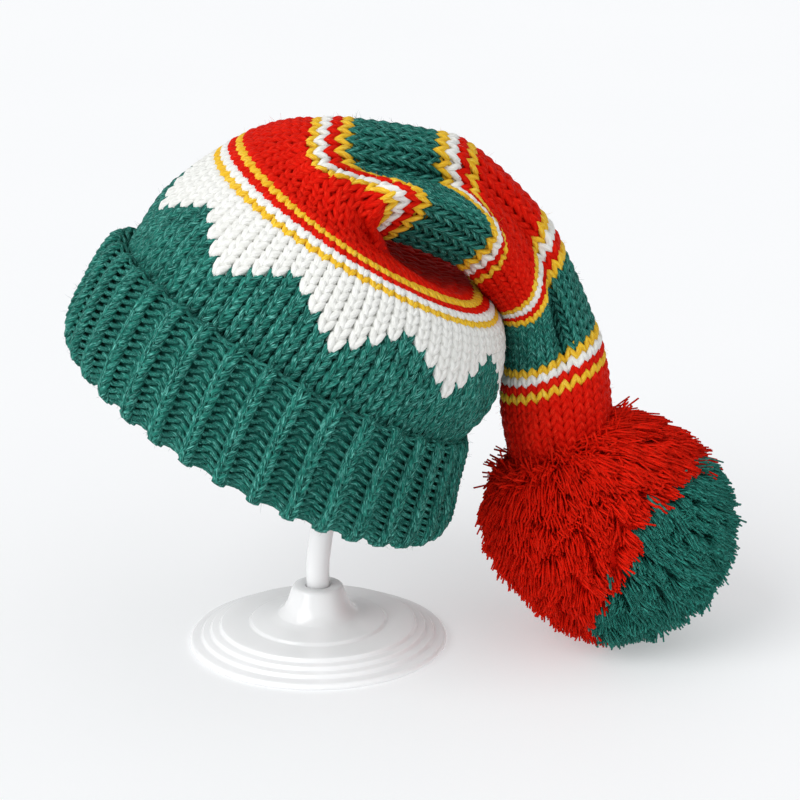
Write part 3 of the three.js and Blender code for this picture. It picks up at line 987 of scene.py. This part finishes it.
def plastic_finish(name):
    """Moulded white plastic with a soft gloss."""
    material, shade, shader = new_finish(name)
    place = shade.node("ShaderNodeTexCoord").out("Object")
    cloud = shade.node("ShaderNodeTexNoise", inputs={"Vector": place, "Scale": 40, "Detail": 2})
    peel = shade.node("ShaderNodeTexNoise", inputs={"Vector": place, "Scale": 700, "Detail": 1})
    normal = shade.node("ShaderNodeBump", inputs={"Height": peel, "Strength": 0.08, "Distance": 0.1 * MM})
    set_surface(shader, shade, {
        "Base Color": cloud.mixed(*PLASTIC_COLOURS),
        "Roughness": PLASTIC_ROUGHNESS + cloud * CLOUD_ROUGHNESS,
        "Normal": normal,
        "Subsurface Weight": 0.8,
        "Subsurface Radius": (1, 1, 1),
        "Subsurface Scale": 8 * MM,
    })
    return material


def floor_finish(name):
    material, shade, shader = new_finish(name)
    place = shade.node("ShaderNodeTexCoord").out("Object")
    cloud = shade.node("ShaderNodeTexNoise", inputs={"Vector": place, "Scale": 3, "Detail": 1})
    set_surface(shader, shade, {
        "Base Color": cloud.mixed(*FLOOR_COLOURS),
        "Roughness": 0.6,
        "Specular IOR Level": 0.2,
        "Emission Color": FLOOR_GLOW_COLOUR,
        "Emission Strength": FLOOR_GLOW,
    })
    return material


# Stage

def add_camera():
    camera = bpy.data.cameras.new("front_view")
    camera.sensor_width = CAMERA_SENSOR
    camera.lens = CAMERA_LENS
    holder = bpy.data.objects.new("front_view", camera)
    holder.location = CAMERA_PLACE
    holder.rotation_euler = (math.radians(CAMERA_PITCH), 0, 0)
    bpy.context.scene.collection.objects.link(holder)
    bpy.context.scene.camera = holder


def add_floor():
    sheet = bmesh.new()
    bmesh.ops.create_grid(sheet, x_segments=FLOOR_CELLS, y_segments=FLOOR_CELLS, size=FLOOR_HALF)
    bmesh.ops.translate(sheet, verts=sheet.verts, vec=(0, 0, FLOOR_LEVEL))
    floor = finish_piece("studio_floor", sheet, [floor_finish("pale_floor")])


def add_studio():
    world = bpy.data.worlds.new("studio")
    world.use_nodes = True
    sky = world.node_tree.nodes["Background"]
    sky.inputs["Color"].default_value = SKY_COLOUR
    sky.inputs["Strength"].default_value = SKY_STRENGTH
    bpy.context.scene.world = world
    for name, source, strength, spread in SOFT_LIGHTS:
        light = bpy.data.lights.new(name, "SUN")
        light.energy = strength
        light.angle = math.radians(spread)
        lamp = bpy.data.objects.new(name, light)
        lamp.rotation_euler = (-Vector(source)).to_track_quat("-Z", "Y").to_euler()
        bpy.context.scene.collection.objects.link(lamp)
    bpy.context.scene.view_settings.view_transform = "Standard"


# Pieces of the hat and the stand

def dress(piece, node):
    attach(piece, "root")
    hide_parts(node)


def add_cap(yarns, shaded_felts, chance):
    for name, first, last in KNIT_PIECES:
        dress(knit_piece(name, first, last, yarns, chance), "cap")
    rim = math.ceil(RIM_COURSE)
    backing = backing_piece(
        "cap_backing", knit_face, rim, END_COURSE, BACKING_HEIGHT, END_COURSE - rim, shaded_felts, yarn_of,
    )
    dress(backing, "cap")
    fuzz = fuzz_piece("cap_fuzz", knit_face, (0, LAST_ROW), CAP_FUZZ, yarns, chance)
    dress(fuzz, "cap")


def add_cuff(yarn, chance):
    dress(cuff_piece("cuff_knit", [yarn], chance), "cuff")
    fuzz_rows = (CUFF_FUZZ_START, CUFF_STITCHES - 1)
    fuzz = fuzz_piece("cuff_fuzz", cuff_face, fuzz_rows, CUFF_FUZZ, [yarn], chance)
    dress(fuzz, "cuff")
    # The rib felt is darker than the cuff's yarn: painted shade in the gaps of the ribs.
    backing = backing_piece(
        "cuff_backing", cuff_face, 0, CUFF_STITCHES, CUFF_BACKING_HEIGHT, 2 * CUFF_STITCHES,
        [felt_finish(*SHADED_RIB_FELT)], lambda row, column: GREEN,
    )
    dress(backing, "cuff")


def add_pompom(green_shaded_felt, chance):
    cut_red = yarn_finish(*CUT_RED)
    cut_green = yarn_finish(*CUT_GREEN)
    # The core's green half takes the dark green felt: painted shade between the strands.
    dress(core_piece("pompom_core", [felt_finish(*CORE_FELT), green_shaded_felt]), "pompom")
    tips, middles, lean, length, green = strand_tips(chance)
    upper = tips @ NECK > math.cos(LONG_ANGLE)
    for name, chosen, gather, points, finish, slot in (
        ("pompom_red_upper", ~green & upper, RED_GATHER, LONG_POINTS, cut_red, "red_yarn"),
        ("pompom_red_lower", ~green & ~upper, RED_GATHER, SHORT_POINTS, cut_red, "red_yarn"),
        ("pompom_green", green, GREEN_GATHER, SHORT_POINTS, cut_green, "green_yarn"),
    ):
        tuft = [part[chosen] for part in (tips, middles, lean, length)]
        ball = strand_paths(*tuft, gather, points, chance)
        dress(strand_piece(name, ball, finish, chance), "pompom")
    collar = strand_piece("pompom_collar", collar_paths(chance), cut_red, chance)
    dress(collar, "pompom")


def add_stand():
    plastic = plastic_finish("white_plastic")
    dress(base_piece("turned_base", [plastic]), "stand_base")
    dress(post_piece("bent_post", [plastic]), "stand_post")
    dress(dome_piece("crown_support", [plastic]), "stand_dome")


def main():
    add_camera()
    chance = np.random.default_rng(SEED)
    yarns = [yarn_finish(*row) for row in YARN_FINISHES]
    shaded_felts = [felt_finish(*row) for row in SHADED_FELT_FINISHES]
    add_cap(yarns, shaded_felts, chance)
    add_cuff(yarns[GREEN], chance)
    add_pompom(shaded_felts[GREEN], chance)
    add_stand()
    add_floor()
    add_studio()


main()
